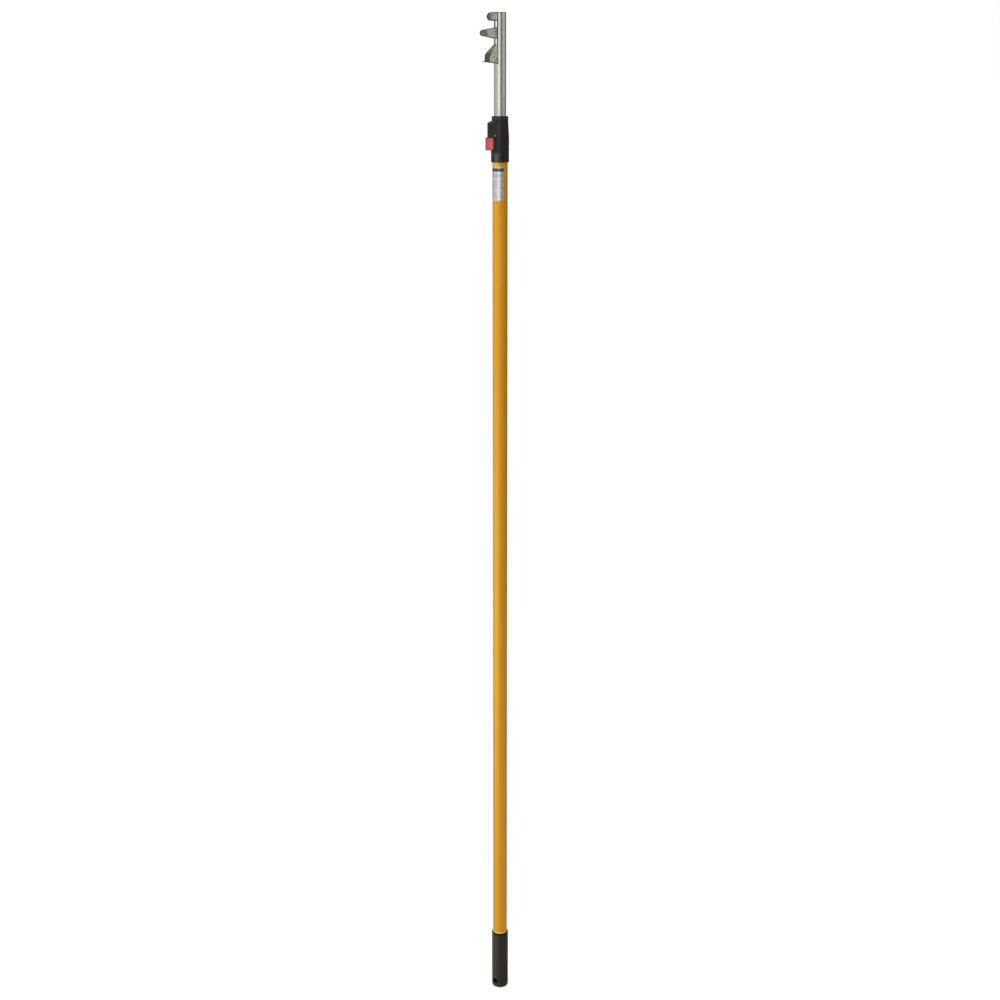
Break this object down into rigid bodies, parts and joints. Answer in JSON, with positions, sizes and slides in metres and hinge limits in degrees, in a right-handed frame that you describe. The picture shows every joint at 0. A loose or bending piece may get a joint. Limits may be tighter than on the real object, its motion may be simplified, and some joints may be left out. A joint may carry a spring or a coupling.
{
  "type": "telescoping saw pole",
  "caption": "Telescoping pole: a yellow outer tube with a rubber end grip, a collar with a red lock lever, and a sliding inner tube that carries a plate head for a saw blade.",
  "frame": {"origin": "centre of the flat butt end of the pole", "axes": "+Z along the pole towards the saw head; -X is the side of the lock lever and of the blade plates; -Y is the front"},
  "size_m": [0.0602, 0.0376, 2.1825],
  "materials": {
    "yellow_fibreglass": "satin-gloss pultruded fibreglass, golden yellow",
    "grip_rubber": "matte moulded rubber",
    "natural_plastic": "natural acetal",
    "seal_rubber": "soft black rubber",
    "label_film": "silver printed film",
    "black_plastic": "fine textured black nylon",
    "steel": "bright steel",
    "spring_steel": "spring wire",
    "rivet_aluminium": "bright aluminium",
    "red_plastic": "satin red nylon",
    "tube_aluminium": "drawn aluminium tube with light rub marks",
    "zinc_plate": "dull zinc plating with an olive cast"
  },
  "bodies": {
    "pole_base": {"outer_tube": "yellow_fibreglass", "end_grip": "grip_rubber", "foot_plug": "natural_plastic", "buffer_pad": "seal_rubber", "label": "label_film", "mouth_bush": "natural_plastic", "wiper_ring": "seal_rubber", "lock_housing": "black_plastic", "lock_cover": "black_plastic", "cover_screws": "steel", "pivot_pins": "steel", "collar_ferrule": "black_plastic", "collar_rivets": "rivet_aluminium", "lever_spring": "spring_steel"},
    "inner_pole": {"inner_tube": "tube_aluminium", "lower_guide_bush": "natural_plastic", "upper_guide_bush": "natural_plastic", "bush_rivets": "rivet_aluminium", "top_plug": "black_plastic", "head_plate_front": "zinc_plate", "head_plate_back": "zinc_plate", "head_rivets": "zinc_plate"},
    "lock_lever": {"lock_lever": "red_plastic"},
    "lock_pin": {"lock_pin": "steel"}
  },
  "joints": [
    {"name": "pole_slide", "type": "slide", "parent": "pole_base", "child": "inner_pole", "axis": [0, 0, 1], "range_m": [0, 1.5]},
    {"name": "lever_press", "type": "hinge", "parent": "pole_base", "child": "lock_lever", "pos_m": [-0.01, 0, 1.9385], "axis": [0, -1, 0], "range_deg": [0, 8.3], "stiffness_Nm_per_rad": 0.88, "springref_deg": -8.02, "deforming": ["lever_spring"]},
    {"name": "pin_lift", "type": "slide", "parent": "pole_base", "child": "lock_pin", "axis": [-1, 0, 0], "range_m": [0, 0.0028]}
  ],
  "couplings": [
    {"joint": "pin_lift", "follows": "lever_press", "m_per_rad": 0.018}
  ]
}
